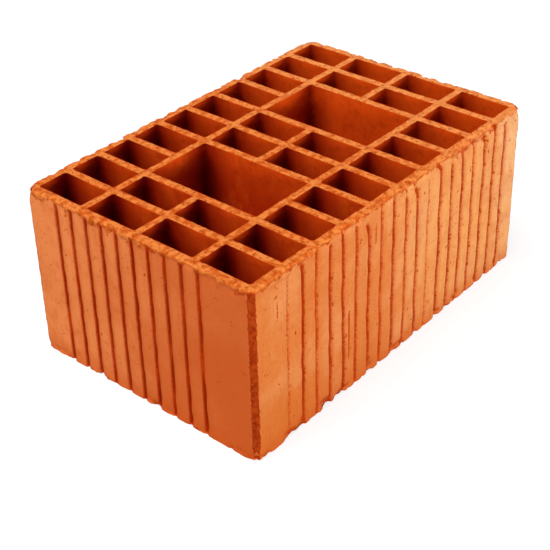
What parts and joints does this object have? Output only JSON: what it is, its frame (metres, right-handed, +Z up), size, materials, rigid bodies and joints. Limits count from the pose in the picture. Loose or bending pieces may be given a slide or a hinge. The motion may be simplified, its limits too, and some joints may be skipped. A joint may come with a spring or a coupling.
{
  "type": "hollow clay block",
  "caption": "Extruded and fired hollow clay block with upright rectangular cells, hand grip holes and plaster grooves down its faces, for laying in masonry walls.",
  "frame": {"origin": "centre of the lower bed face", "axes": "+X along the block's length, +Y across its width, +Z up along the cells"},
  "size_m": [0.29, 0.19, 0.125],
  "materials": {
    "fired_clay": "matt fired terracotta, granular on the wire-cut beds"
  },
  "bodies": {
    "root": {"brick": "fired_clay"}
  },
  "joints": []
}
